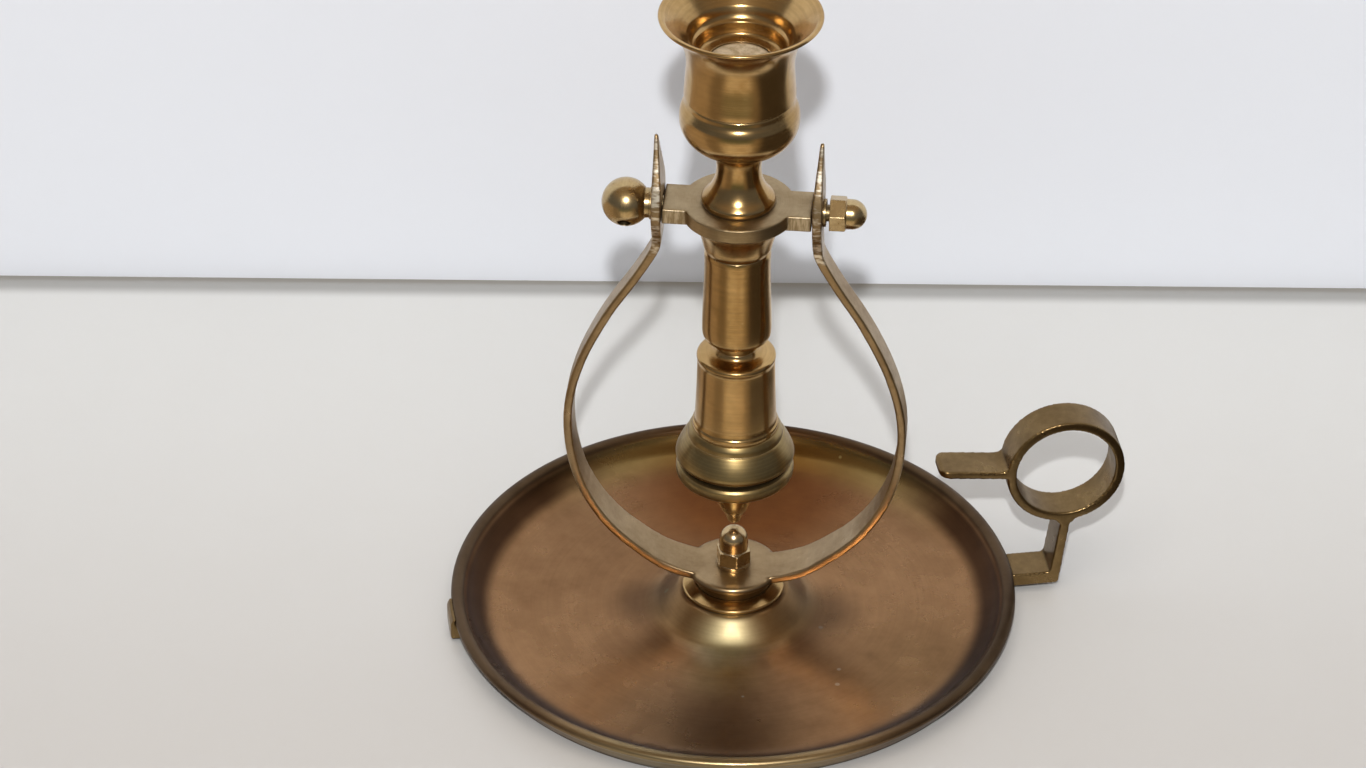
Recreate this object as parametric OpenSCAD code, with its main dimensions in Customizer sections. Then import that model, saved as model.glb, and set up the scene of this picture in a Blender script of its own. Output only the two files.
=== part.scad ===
// Gimbaled candlestick in brass: a drip pan with a ring handle, a swivelling yoke and a
// weighted column that hangs from two pivots, so the candle stays upright when the pan tilts.
// Every size is in millimetres. The pan stands on z = 0, its axis is the z axis and the two
// pivots lie on a line along x.

/* [Pan] */
// Outside diameter of the pan over its lip
pan_d = 150; // [120:1:190]
// Height of the crest of the lip above the table
lip_z = 7.8; // [7:0.1:12]
// How far the foot ring stands in from the outside of the lip
foot_inset = 4.4; // [3.5:0.1:6]
// Height of the inside floor at its lowest
floor_z = 1.8; // [1.6:0.1:2.6]
// Height of the top of the centre cone
cone_z = 7.6; // [7.2:0.1:9]
// Thickness of the floor and the cone
pan_t = 1.2; // [1:0.1:1.5]

/* [Cone collar and swivel] */
// Diameter of the collar on top of the cone
collar_d = 27; // [24:0.5:32]
// Thickness of the collar at its middle
collar_t = 2.25; // [1.8:0.05:4]
// Diameter of the plain disc under the yoke and of the hub of the yoke
hub_d = 20.2; // [16:0.2:24]
// Thickness of the plain disc
disc_t = 2.75; // [2:0.05:5]
// Diameter of the centre bolt
bolt_d = 4.7; // [4:0.1:5]
// Diameter of the cheese head of the bolt
bolt_head_d = 10.4; // [8:0.1:14]
// Thickness of the cheese head
bolt_head_t = 2.6; // [2:0.1:3]

/* [Yoke] */
// Thickness of the strap
strap_t = 2.2; // [1.6:0.1:3]
// Width of the strap where it leaves the hub
strap_w = 11.6; // [9:0.1:14]
// Width of the strap just under the ears
strap_top_w = 6.8; // [5:0.1:9]
// Half the widest spread of the strap, measured to its middle
yoke_half_w = 43.2; // [38:0.1:50]
// Height of the line of the pivots above the table
pivot_z = 127; // [120:0.5:140]
// Distance from the column's axis to the inside face of an ear
ear_in = 19.1; // [18.5:0.1:24]
// Thickness of an ear at the pivot
ear_t = 2.5; // [2:0.1:3.5]
// Greatest width of the leaf-shaped ear
ear_w = 14.5; // [10:0.1:18]
// Height of the tip of the ear above the pivot
ear_rise = 20.6; // [14:0.1:26]

/* [Gimbal plate and pivots] */
// Diameter of the round plate that carries the column
plate_d = 28.6; // [24:0.2:34]
// Thickness of the plate
plate_t = 4.4; // [4:0.1:6]
// Width of the two arms of the plate
arm_w = 12.4; // [8:0.1:16]
// Diameter of the plain part of each pivot
pivot_d = 4.3; // [3.6:0.1:4.6]
// Diameter of the threaded end of each pivot
pivot_end_d = 2.8; // [2:0.1:3.2]
// Radial running clearance of the pivots and the centre bolt
run_gap = 0.07; // [0.02:0.01:0.1]
// Diameter of the ball on the locking screw
ball_d = 12.5; // [9:0.1:16]
// Diameter of the hole drilled in the ball
ball_hole_d = 3.4; // [2:0.1:4.5]
// Width across the flats of the acorn nuts
nut_af = 8.1; // [7.6:0.1:10]
// Height of the hexagon of the acorn nuts
nut_h = 4.2; // [3:0.1:6]
// Diameter of the dome of the acorn nuts
dome_d = 7.7; // [7:0.1:9]

/* [Candle cup] */
// Height of the rim of the cup above the table
cup_top_z = 183.9; // [178:0.1:196]
// Outside diameter of the flared rim
rim_d = 41; // [36:0.2:50]
// Diameter of the candle bore
bore_d = 22.3; // [20:0.1:23]
// Diameter of the cup at its waist
cup_waist_d = 27.6; // [27:0.1:32]
// Diameter of the bulb under the cup
bulb_d = 29.9; // [28:0.1:34]
// Diameter of the neck under the bulb
neck_d = 10.9; // [8:0.1:14]
// Diameter of the trumpet foot that stands on the plate
trumpet_d = 18.8; // [15:0.1:24]
// Diameter of the seat the candle stands on
seat_d = 15.2; // [12:0.1:18]

/* [Column below the plate] */
// Length of the upper stem and its collar
upper_stem_len = 34.9; // [30:0.1:42]
// Length of the spigot that shows between the two stems
spigot_len = 6.3; // [4:0.1:8]
// Length of the lower stem
lower_stem_len = 24.3; // [20:0.1:30]
// Height of the bell
bell_h = 9; // [8:0.1:12]
// Height of the ring under the bell
bell_ring_h = 5; // [4.4:0.1:6]
// Height of the cap that closes the bell below
bell_cap_h = 5.1; // [4.6:0.1:7]
// Diameter of the upper stem at its lower end
upper_stem_d = 17.3; // [15:0.1:20]
// Diameter of the spigot between the two stems
spigot_d = 11; // [9:0.1:13]
// Diameter of the lower stem at its lower end
lower_stem_d = 21.6; // [19:0.1:25]
// Greatest diameter of the weighted bell
bell_d = 30.8; // [29:0.1:36]
// Diameter of the conical finial nut under the cap
finial_d = 10.4; // [8:0.1:13]
// Height of the finial nut
finial_h = 11.6; // [8:0.1:13]
// Diameter of the rod that ties the column together
rod_d = 4; // [3:0.1:4.5]

/* [Handle and lug] */
// Width of the handle casting
handle_w = 10; // [8:0.1:14]
// Turn of the handle and of the lug opposite it from the line of the pivots, in degrees
handle_turn = 14; // [0:1:40]
// Outside diameter of the finger ring
ring_d = 31.6; // [28:0.2:40]
// Thickness of the band of the finger ring
ring_t = 2.5; // [1.6:0.1:4]
// Distance from the pan's axis to the middle of the ring
ring_u = 87.9; // [87:0.1:98]
// Height of the middle of the ring
ring_z = 39; // [34:0.1:48]
// Distance the thumb tab reaches in from the ring
tab_len = 18.2; // [10:0.1:22]
// Thickness of the thumb tab
tab_t = 2.1; // [1.6:0.1:3]
// Slope of the thumb tab, higher at its inner end, in degrees
tab_slope = 6; // [0:1:12]
// Radial depth of the lug outside the lip
lug_out = 1.2; // [0.5:0.1:3]

/* [Hidden] */
$fn = 72;
// small radial clearance between pieces that are fixed to each other
fit = 0.05;
foot_r = pan_d / 2 - foot_inset;
wall_depth = lip_z - floor_z;
cone_h = cone_z - floor_z;
collar_top = cone_z + collar_t;
disc_top = collar_top + disc_t;
hub_top = disc_top + strap_t;
hub_washer_t = 1.1;
hub_nut_z = hub_top + hub_washer_t;
pan_under_z = cone_z - pan_t;
bolt_washer_t = 0.8;
plate_top = pivot_z + plate_t / 2;
plate_under = pivot_z - plate_t / 2;
ear_mid = ear_in + ear_t / 2;
ear_out = ear_in + ear_t;
// the arms of the plate stop this far short of the ears
arm_gap = 0.2;
arm_end = ear_in - arm_gap;
arm_hole_end = 9.5;
side_washer_t = 0.7;
// the acorn nut stands this far off its washer, so the pivot runs freely
nut_off = 0.9;
pivot_nut_x = ear_out + side_washer_t + nut_off;
ball_x = ear_out + side_washer_t + ball_d / 2 - 0.1;
// rows of the column, measured down from the underside of the plate
collar_len = 8.1;
upper_end = plate_under - upper_stem_len;
neck_end = upper_end - spigot_len;
bell_top = neck_end - lower_stem_len;
bell_split = bell_top - bell_h;
ring_under = bell_split - bell_ring_h;
cap_under = ring_under - bell_cap_h;
rod_hole = rod_d / 2 + fit;
rod_end = cap_under - 5;
// height of the cup above the plate that its rows were measured at
cup_drawn_h = 54.7;
cup_scale = (cup_top_z - plate_top) / cup_drawn_h;
bore_top = rim_row(5.3);
seat_top = rim_row(11.1);
seat_t = 3 * cup_scale;
pocket_d = 13;
pocket_floor = cup_row(17.8);
rod_head_d = 7;
rod_head_t = 2.8;

// one point of a smooth curve between b and c
function curve_point(a, b, c, d, t) =
  0.5 * (2 * b + (c - a) * t + (2 * a - 5 * b + 4 * c - d) * t * t
  + (3 * b - a - 3 * c + d) * t * t * t);

// a smooth curve through every point of p, with n steps between neighbours
function smooth(p, n = 4) = [
  for (i = [0 : len(p) - 2])
    for (k = [0 : n - 1])
      curve_point(p[max(i - 1, 0)], p[i], p[i + 1], p[min(i + 2, len(p) - 1)], k / n),
  p[len(p) - 1]
];

// unit vector square to the line through points i-1 and i+1 of p
function side_dir(p, i) =
  let (a = p[max(i - 1, 0)], b = p[min(i + 1, len(p) - 1)],
       d = [b[0] - a[0], b[1] - a[1]], l = norm(d))
  [d[1] / l, -d[0] / l];

// a line of points [x, z, half thickness] turned into the outline of a strap
function strap_outline(p) = concat(
  [for (i = [0 : len(p) - 1]) [p[i][0], p[i][1]] + side_dir(p, i) * p[i][2]],
  [for (i = [len(p) - 1 : -1 : 0]) [p[i][0], p[i][1]] - side_dir(p, i) * p[i][2]]);

// height of a row of the cup, h up from the plate or d down from the rim
function cup_row(h) = plate_top + h * cup_scale;
function rim_row(d) = cup_top_z - d * cup_scale;

// an outline p of [radius, height] turned about the z axis
module turned(p) {
  rotate_extrude() polygon(p);
}

// a plain round hole or bar along z
module bar(d, z0, z1) {
  translate([0, 0, z0]) cylinder(d = d, h = z1 - z0);
}

// a round bar along x
module bar_x(d, x0, x1) {
  translate([x0, 0, pivot_z]) rotate([0, 90, 0]) cylinder(d = d, h = x1 - x0);
}

// a flat ring
module washer(d, hole, z0, z1) {
  difference() {
    bar(d, z0, z1);
    bar(hole, z0 - 1, z1 + 1);
  }
}

// acorn nut standing on z = 0, with a blind hole for the bar it closes
module acorn_nut(hole, straight) {
  corner = nut_af / cos(30);
  dome_z = nut_h + straight;
  difference() {
    union() {
      intersection() {
        cylinder(d = corner, h = nut_h, $fn = 6);
        turned([[0, 0], [corner / 2, 0], [corner / 2, nut_h - 0.35],
          [nut_af / 2 - 0.1, nut_h], [0, nut_h]]);
      }
      bar(dome_d, nut_h - 0.2, dome_z);
      translate([0, 0, dome_z]) sphere(d = dome_d);
    }
    bar(hole, -1, dome_z + 0.6);
    translate([0, 0, -dome_d]) cube([3 * dome_d, 3 * dome_d, 2 * dome_d], center = true);
  }
}

// outside of the pan from the foot ring up to the crest of the lip
function pan_outside() = concat(
  [[foot_r, 0], [foot_r + 0.5, 0.5]],
  smooth([[foot_r + 0.5, 0.5], [pan_d / 2 - 2.8, lip_z - 5.8],
    [pan_d / 2 - 1.8, lip_z - 4.2], [pan_d / 2 - 1.1, lip_z - 2.8]]),
  smooth([[pan_d / 2 - 0.5, lip_z - 2.3], [pan_d / 2, lip_z - 1.5],
    [pan_d / 2 - 0.1, lip_z - 0.8], [pan_d / 2 - 0.9, lip_z - 0.2],
    [pan_d / 2 - 2.2, lip_z], [pan_d / 2 - 3.4, lip_z - 0.4]]));

// the dished floor, its concave wall and the steep cone in the middle
function pan_inside() = concat(
  smooth([[pan_d / 2 - 3.4, lip_z - 0.4], [pan_d / 2 - 3.95, floor_z + 0.78 * wall_depth],
    [pan_d / 2 - 4.8, floor_z + 0.53 * wall_depth], [pan_d / 2 - 6.1, floor_z + 0.3 * wall_depth],
    [pan_d / 2 - 8, floor_z + 0.13 * wall_depth], [pan_d / 2 - 10.6, floor_z + 0.03 * wall_depth],
    [pan_d / 2 - 14, floor_z]]),
  smooth([[pan_d / 2 - 23, floor_z], [collar_d / 2 + 17.5, floor_z],
    [collar_d / 2 + 10, floor_z + 0.01 * cone_h], [collar_d / 2 + 6.4, floor_z + 0.06 * cone_h],
    [collar_d / 2 + 4, floor_z + 0.16 * cone_h], [collar_d / 2 + 2.5, floor_z + 0.33 * cone_h],
    [collar_d / 2 + 1.1, floor_z + 0.62 * cone_h], [collar_d / 2 - 0.1, floor_z + 0.9 * cone_h],
    [collar_d / 2 - 0.5, cone_z]]));

// the hollow under the cone and the floor, out to the foot ring
function pan_hollow() = concat(
  [[5.1, pan_under_z], [9.4, pan_under_z]],
  smooth([[collar_d / 2 - 2.3, pan_under_z - 0.02 * cone_h],
    [collar_d / 2 - 1.3, pan_under_z - 0.2 * cone_h], [collar_d / 2 + 0.1, pan_under_z - 0.5 * cone_h],
    [collar_d / 2 + 1.6, pan_under_z - 0.78 * cone_h],
    [collar_d / 2 + 3.7, pan_under_z - 0.91 * cone_h],
    [collar_d / 2 + 6.8, pan_under_z - 0.97 * cone_h],
    [collar_d / 2 + 12.5, pan_under_z - 0.996 * cone_h], [collar_d / 2 + 20.5, floor_z - pan_t]]),
  [[foot_r - 4.6, floor_z - pan_t], [foot_r - 3.8, (floor_z - pan_t) / 2], [foot_r - 3.2, 0]]);

module pan() {
  color("#9a7440")
  turned(concat(pan_hollow(), pan_outside(), pan_inside(), [[5.1, cone_z]]));
}

module cone_collar() {
  color("#b08a4c")
  turned([[bolt_d / 2 + run_gap, pan_under_z + 0.3], [5.1 - fit, pan_under_z + 0.3],
    [5.1 - fit, cone_z], [collar_d / 2 - 0.6, cone_z], [collar_d / 2, cone_z + 0.25],
    [collar_d / 2, cone_z + 0.8], [collar_d / 2 - 0.3, cone_z + 1.1],
    [hub_d / 2 + 0.3, collar_top], [bolt_d / 2 + run_gap, collar_top]]);
}

module swivel_disc() {
  color("#7d6238")
  turned([[bolt_d / 2 + run_gap, collar_top], [hub_d / 2 - 0.2, collar_top],
    [hub_d / 2, collar_top + 0.2], [hub_d / 2, disc_top - 0.2], [hub_d / 2 - 0.2, disc_top],
    [bolt_d / 2 + run_gap, disc_top]]);
}

module centre_bolt() {
  color("#b8934f")
  difference() {
    union() {
      bar(bolt_d, pan_under_z - bolt_washer_t - 0.2, hub_nut_z + nut_h + 1.9);
      bar(bolt_head_d, pan_under_z - bolt_washer_t - bolt_head_t,
        pan_under_z - bolt_washer_t);
    }
    // screwdriver slot across the head
    translate([-bolt_head_d, -0.7, 0])
      cube([2 * bolt_head_d, 1.4, pan_under_z - bolt_washer_t - bolt_head_t + 1.1]);
  }
}

module bolt_washer() {
  color("#b8934f")
  washer(16, bolt_d + 2 * run_gap, pan_under_z - bolt_washer_t, pan_under_z);
}

module hub_washer() {
  color("#b8934f")
  washer(nut_af + 0.7, bolt_d + 2 * run_gap, hub_top, hub_nut_z);
}

module hub_nut() {
  color("#b8934f")
  translate([0, 0, hub_nut_z]) rotate([0, 0, -14]) acorn_nut(bolt_d + 2 * fit, 2.7);
}

// outline of the thumb tab with its top fillet, level and seen from the side
module tab_side() {
  joint_u = -ring_d / 2;
  end_u = joint_u - tab_len;
  top = -0.3;
  low = top - tab_t;
  polygon([[end_u, low + 0.5], [end_u + 0.5, low], [joint_u + 1, low], [joint_u + 2.2, top + 3.4],
    [joint_u + 0.9, top + 1.8], [joint_u - 0.6, top + 0.4], [joint_u - 2, top],
    [end_u + 0.5, top], [end_u, top - 0.5]]);
}

// outline of the handle seen from the side, out along u and up along z
module handle_side() {
  foot_top = lip_z - 1.5;
  foot_under = foot_top - 3.7;
  foot_in = pan_d / 2 - 6;
  bend_u = ring_u - 0.4;
  ring_low = ring_z - ring_d / 2;
  difference() {
    union() {
      // foot and the upright that leans out under the ring
      polygon([[foot_in, foot_under], [bend_u - 0.4, foot_under], [bend_u, foot_under + 0.4],
        [ring_u + 1.9, ring_low - 0.4], [ring_u + 1.9, ring_low + 1.2],
        [ring_u - 0.7, ring_low + 1.2], [ring_u - 0.7, ring_low - 0.4],
        [bend_u - 2.3, foot_top + 1], [bend_u - 3, foot_top], [foot_in, foot_top]]);
      // flares where the upright runs into the ring
      polygon([[ring_u - 2.4, ring_low + 0.4], [ring_u - 0.8, ring_low - 1.3],
        [ring_u + 1.8, ring_low - 1.3], [ring_u + 3.6, ring_low + 0.5], [ring_u, ring_low + 1.8]]);
      translate([ring_u, ring_z]) circle(d = ring_d);
      translate([ring_u, ring_z]) rotate(-tab_slope) tab_side();
    }
    translate([ring_u, ring_z]) circle(d = ring_d - 2 * ring_t);
  }
}

module handle() {
  tab_end = ring_u - (ring_d / 2 + tab_len) * cos(tab_slope);
  tab_round = 2.6;
  color("#8d7340")
  rotate([0, 0, handle_turn])
  difference() {
    intersection() {
      translate([0, handle_w / 2, 0]) rotate([90, 0, 0])
        linear_extrude(handle_w) handle_side();
      // the inner end of the thumb tab is rounded off at both corners
      linear_extrude(ring_z + ring_d) union() {
        translate([tab_end + tab_round, -handle_w / 2]) square([60, handle_w]);
        translate([tab_end - 1, -handle_w / 2 + tab_round])
          square([10, handle_w - 2 * tab_round]);
        translate([tab_end + tab_round, handle_w / 2 - tab_round]) circle(r = tab_round);
        translate([tab_end + tab_round, -handle_w / 2 + tab_round]) circle(r = tab_round);
      }
    }
    // the foot butts on the outside of the pan
    turned(concat([[0, -1], [foot_r, -1]], pan_outside(), [[0, lip_z]]));
  }
}

module lug() {
  lug_w = 10;
  lug_r = pan_d / 2 + lug_out;
  lug_top = lip_z - 0.5;
  lug_under = 1.2;
  color("#8d7340")
  rotate([0, 0, handle_turn + 180])
  intersection() {
    // the inside face follows the wall and the lip of the pan
    rotate_extrude() difference() {
      polygon([[lug_r - 6, lug_under], [lug_r - 0.4, lug_under], [lug_r, lug_under + 0.4],
        [lug_r, lug_top - 1.6], [lug_r - 0.7, lug_top], [lug_r - 6, lug_top]]);
      polygon(concat([[0, -1], [foot_r, -1]], pan_outside(), [[0, lip_z]]));
    }
    translate([lug_r - 10, -lug_w / 2, 0]) cube([20, lug_w, lip_z + 2]);
  }
}

// middle line of the strap from the hub to the tip of an ear: x, z, half thickness
function yoke_line() = concat(
  [[0, hub_top - strap_t / 2, strap_t / 2], [5, hub_top - strap_t / 2, strap_t / 2]],
  smooth([[8, hub_top - strap_t / 2, strap_t / 2],
    [11.6, hub_top - strap_t / 2 + 0.5, strap_t / 2], [16.4, 15.8, strap_t / 2],
    [21.9, 18.8, strap_t / 2], [32.1, 27.6, strap_t / 2],
    [yoke_half_w - 3.9, 39, strap_t / 2], [yoke_half_w - 0.3, 52, strap_t / 2],
    [yoke_half_w, 65.7, strap_t / 2], [yoke_half_w - 3.4, 79.5, strap_t / 2],
    [33.3, pivot_z - 33.4, strap_t / 2], [26, pivot_z - 21.5, strap_t / 2],
    [21.3, pivot_z - 13, strap_t / 2 + 0.05], [ear_mid + 0.15, pivot_z - 9.8, ear_t / 2]]),
  [[ear_mid, pivot_z - 7.6, ear_t / 2], [ear_mid, pivot_z - 3, ear_t / 2],
    [ear_mid, pivot_z + 5.5, ear_t / 2]],
  smooth([[ear_mid + 0.05, pivot_z + 8, ear_t / 2 - 0.08],
    [ear_mid + 0.25, pivot_z + 14, ear_t / 2 - 0.4],
    [ear_mid + 0.5, pivot_z + ear_rise, 0.5]], 3));

// half width of the strap and ear against height
function yoke_side() = concat(
  [[strap_w / 2 + 0.1, disc_top - 1]],
  smooth([[strap_w / 2, hub_top + 0.5], [strap_w / 2 - 0.6, 24], [strap_w / 2 - 1.1, 39],
    [strap_top_w / 2 + 1, 58], [strap_top_w / 2 + 0.5, 79], [strap_top_w / 2 + 0.15, 100],
    [strap_top_w / 2, pivot_z - 14]]),
  smooth([[strap_top_w / 2 + 0.05, pivot_z - 10.5], [ear_w / 2 - 2.6, pivot_z - 7.2],
    [ear_w / 2 - 1.1, pivot_z - 4.6], [ear_w / 2 - 0.2, pivot_z - 1.8],
    [ear_w / 2, pivot_z + 0.6], [ear_w / 2 - 0.3, pivot_z + 3.4],
    [ear_w / 2 - 1.5, pivot_z + 7.6], [ear_w / 2 - 3.4, pivot_z + 12],
    [ear_w / 2 - 5.3, pivot_z + 16.4], [0.9, pivot_z + ear_rise - 1],
    [0.35, pivot_z + ear_rise]]));

module yoke_arm() {
  side = yoke_side();
  intersection() {
    translate([0, 20, 0]) rotate([90, 0, 0]) linear_extrude(40)
      polygon(strap_outline(yoke_line()));
    translate([-1, 0, 0]) rotate([90, 0, 90]) linear_extrude(yoke_half_w + 10)
      polygon(concat(side, [for (i = [len(side) - 1 : -1 : 0]) [-side[i][0], side[i][1]]]));
  }
}

module yoke() {
  color("#a5875a")
  difference() {
    union() {
      yoke_arm();
      mirror([1, 0, 0]) yoke_arm();
      bar(hub_d, disc_top, hub_top);
    }
    bar(bolt_d + 2 * run_gap, disc_top - 2, hub_top + 2);
    bar_x(pivot_d + 2 * run_gap, -ear_out - 3, ear_out + 3);
  }
}

module gimbal_plate() {
  color("#a8884e")
  difference() {
    union() {
      turned([[0, plate_under], [plate_d / 2 - 0.9, plate_under],
        [plate_d / 2, plate_under + 0.7], [plate_d / 2, plate_top - 0.15],
        [plate_d / 2 - 0.15, plate_top], [0, plate_top]]);
      translate([-arm_end, -arm_w / 2, plate_under + 0.1])
        cube([2 * arm_end, arm_w, plate_t - 0.1]);
    }
    bar(2 * rod_hole, plate_under - 1, plate_top + 1);
    bar_x(pivot_end_d + 2 * fit, arm_hole_end, arm_end + 1);
    bar_x(pivot_end_d + 2 * fit, -arm_end - 1, -arm_hole_end);
  }
}

module candle_cup() {
  foot_r = trumpet_d / 2;
  neck_r = neck_d / 2;
  bulb_r = bulb_d / 2;
  waist_r = cup_waist_d / 2;
  rim_r = rim_d / 2;
  bore_r = bore_d / 2;
  color("#b28d45")
  turned(concat(
    // trumpet foot
    [[rod_hole, plate_top], [foot_r - 0.15, plate_top], [foot_r, cup_row(0.2)],
      [foot_r, cup_row(1)], [foot_r - 0.35, cup_row(1.2)]],
    smooth([[foot_r - 0.8, cup_row(1.4)], [foot_r - 1.8, cup_row(2.6)],
      [foot_r - 2.5, cup_row(4.3)], [neck_r + 0.6, cup_row(6.8)],
      [neck_r + 0.1, cup_row(9.3)], [neck_r, cup_row(10.3)],
      [neck_r + 0.35, cup_row(12.1)], [neck_r + 0.95, cup_row(13.3)]]),
    // bulb
    smooth([[neck_r + 1.9, cup_row(14.5)], [bulb_r - 6.65, cup_row(16.2)],
      [bulb_r - 4.55, cup_row(17.8)], [bulb_r - 2.55, cup_row(19.7)],
      [bulb_r - 1.2, cup_row(21.7)], [bulb_r - 0.35, cup_row(23.8)],
      [bulb_r, cup_row(26.3)], [bulb_r - 0.1, cup_row(28)],
      [bulb_r - 0.45, cup_row(29.6)], [bulb_r - 1, cup_row(31.1)]]),
    [[waist_r - 0.25, cup_row(31.3)], [waist_r - 0.2, cup_row(31.6)]],
    // waisted cup and its flared rim
    smooth([[waist_r + 0.3, cup_row(31.9)], [waist_r + 0.1, cup_row(33.5)],
      [waist_r, cup_row(35.7)], [waist_r + 0.15, cup_row(38.9)],
      [waist_r + 0.5, cup_row(42.1)], [waist_r + 0.95, rim_row(9.6)],
      [waist_r + 1.8, rim_row(6.9)], [rim_r - 3.3, rim_row(4)],
      [rim_r - 1.2, rim_row(1.7)], [rim_r, rim_row(0.7)]]),
    [[rim_r, rim_row(0.35)], [rim_r - 0.3, rim_row(0.05)], [rim_r - 0.9, cup_top_z],
      [rim_r - 1.5, rim_row(0.15)]],
    // inside: the flare runs down to the edge of the straight candle bore
    smooth([[rim_r - 1.8, rim_row(0.45)], [rim_r - 3.4, rim_row(1.15)],
      [rim_r - 5, rim_row(2)], [rim_r - 6.5, rim_row(3)], [bore_r + 1.3, rim_row(4)],
      [bore_r + 0.5, rim_row(4.75)], [bore_r, bore_top]]),
    // straight bore, its floor with the seat let in, and the pocket under the seat
    [[bore_r, seat_top], [seat_d / 2 + fit, seat_top], [seat_d / 2 + fit, seat_top - seat_t],
      [pocket_d / 2, seat_top - seat_t], [pocket_d / 2, pocket_floor + 0.6],
      [pocket_d / 2 - 0.6, pocket_floor], [rod_hole, pocket_floor]]));
}

module candle_seat() {
  color("#c3a878")
  turned([[0, seat_top - seat_t], [seat_d / 2, seat_top - seat_t], [seat_d / 2, seat_top - 0.35],
    [seat_d / 2 - 0.35, seat_top], [0, seat_top]]);
}

module stem_collar() {
  top = plate_under;
  low = plate_under - collar_len;
  color("#a9864a")
  turned(concat([[rod_hole, low], [upper_stem_d / 2 - 0.7, low]],
    smooth([[upper_stem_d / 2 - 0.45, low + 0.3], [upper_stem_d / 2 - 0.2, low + 2],
      [upper_stem_d / 2 + 0.35, low + 4], [upper_stem_d / 2 + 1.3, low + 6.2],
      [upper_stem_d / 2 + 2.4, top - 0.4]]),
    [[upper_stem_d / 2 + 2.4, top], [rod_hole, top]]));
}

module upper_stem() {
  top = plate_under - collar_len;
  r = upper_stem_d / 2;
  wall = 1.8;
  color("#b08a45")
  difference() {
    turned(concat([[rod_hole, neck_end], [spigot_d / 2, neck_end], [spigot_d / 2, upper_end]],
      smooth([[r - 0.9, upper_end], [r - 0.25, upper_end + 0.6], [r, upper_end + 2.4]]),
      [[r, upper_end + 6], [r - 0.15, (upper_end + top) / 2], [r - 0.3, top - 0.8],
        [r - 0.6, top], [rod_hole, top]]));
    // the tube is bored out behind its wall
    bar(2 * (r - wall - 0.3), upper_end + 3, top - 2.5);
  }
}

module lower_stem() {
  r = lower_stem_d / 2;
  color("#b08a45")
  difference() {
    turned(concat([[rod_hole, bell_top], [r, bell_top], [r - 0.12, bell_top + 2.8]],
      smooth([[r - 0.4, bell_top + 6], [r - 0.7, bell_top + 12], [r - 0.88, neck_end - 5]], 3),
      smooth([[r - 0.95, neck_end - 3], [r - 1.1, neck_end - 2.1], [r - 1.6, neck_end - 1.15],
        [r - 2.6, neck_end - 0.5], [r - 3.9, neck_end - 0.15],
        [spigot_d / 2 + 0.5, neck_end]]),
      [[rod_hole, neck_end]]));
    bar(2 * (r - 2.8), bell_top + 2.4, neck_end - 4);
  }
}

module bell() {
  r = bell_d / 2;
  row = bell_h / 9.4;
  color("#b08a45")
  difference() {
    turned(concat([[rod_hole, bell_split], [r - 1.3, bell_split]],
      smooth([[r - 1.3, bell_split], [r - 0.5, bell_split + 0.35 * row],
        [r - 0.1, bell_split + 1.1 * row], [r, bell_split + 2.3 * row],
        [r - 0.2, bell_split + 3.7 * row], [r - 0.8, bell_split + 5.3 * row],
        [r - 1.75, bell_split + 6.8 * row]]),
      [[r - 2.05, bell_split + 7 * row], [r - 2.0, bell_split + 7.2 * row]],
      smooth([[r - 1.85, bell_split + 7.3 * row], [r - 2.0, bell_split + 8.2 * row],
        [r - 2.8, bell_split + 9 * row], [r - 3.9, bell_top]]),
      [[rod_hole, bell_top]]));
    bar(2 * (r - 3.1), bell_split - 1, bell_top - 2.4);
  }
}

module bell_weight() {
  color("#6f6f72")
  washer(bell_d - 6.2 - 4 * fit, rod_d + 2 * fit, ring_under + 1.8, bell_top - 2.5);
}

module bell_ring() {
  r = bell_d / 2;
  row = bell_ring_h / 4.6;
  color("#b08a45")
  turned(concat([[r - 3.1, ring_under], [r - 0.6, ring_under]],
    smooth([[r - 0.6, ring_under], [r - 0.12, ring_under + 0.6 * row],
      [r - 0.02, ring_under + 1.5 * row], [r - 0.12, ring_under + 2.5 * row],
      [r - 0.7, ring_under + 3.2 * row]]),
    [[r - 1.3, ring_under + 3.4 * row], [r - 2.3, ring_under + 3.5 * row],
      [r - 2.4, bell_split - 0.2], [r - 2.2, bell_split], [r - 3.1, bell_split]]));
}

module bell_cap() {
  r = bell_d / 2;
  color("#9c7a40")
  turned(concat([[rod_hole, cap_under], [nut_af / 2 + 0.9, cap_under]],
    smooth([[nut_af / 2 + 1.2, cap_under + 0.06 * bell_cap_h],
      [nut_af / 2 + 2.6, cap_under + 0.31 * bell_cap_h],
      [nut_af / 2 + 4.8, cap_under + 0.63 * bell_cap_h],
      [r - 3.9, cap_under + 0.84 * bell_cap_h], [r - 3.1 - fit, ring_under]]),
    [[r - 3.1 - fit, ring_under + 1.8], [rod_hole, ring_under + 1.8]]));
}

module tie_rod() {
  color("#a58c5a")
  union() {
    bar(rod_d, rod_end, pocket_floor + 0.2);
    bar(rod_head_d, pocket_floor, pocket_floor + rod_head_t);
  }
}

module finial_nut() {
  // a turned cone with a rounded tip, bored blind for the rod
  top_r = finial_d / 2;
  color("#b8934f")
  turned(concat([[rod_hole, cap_under], [top_r - 0.3, cap_under], [top_r, cap_under - 0.3],
      [top_r, cap_under - 1.5]],
    smooth([[top_r - 0.1, cap_under - 2.2], [0.86 * top_r, cap_under - 0.42 * finial_h],
      [0.72 * top_r, cap_under - 0.58 * finial_h], [0.53 * top_r, cap_under - 0.72 * finial_h],
      [0.42 * top_r, cap_under - 0.84 * finial_h], [0.34 * top_r, cap_under - 0.93 * finial_h],
      [0.18 * top_r, cap_under - 0.99 * finial_h], [0, cap_under - finial_h]]),
    [[0, rod_end - 0.4], [rod_hole, rod_end - 0.4]]));
}

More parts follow.
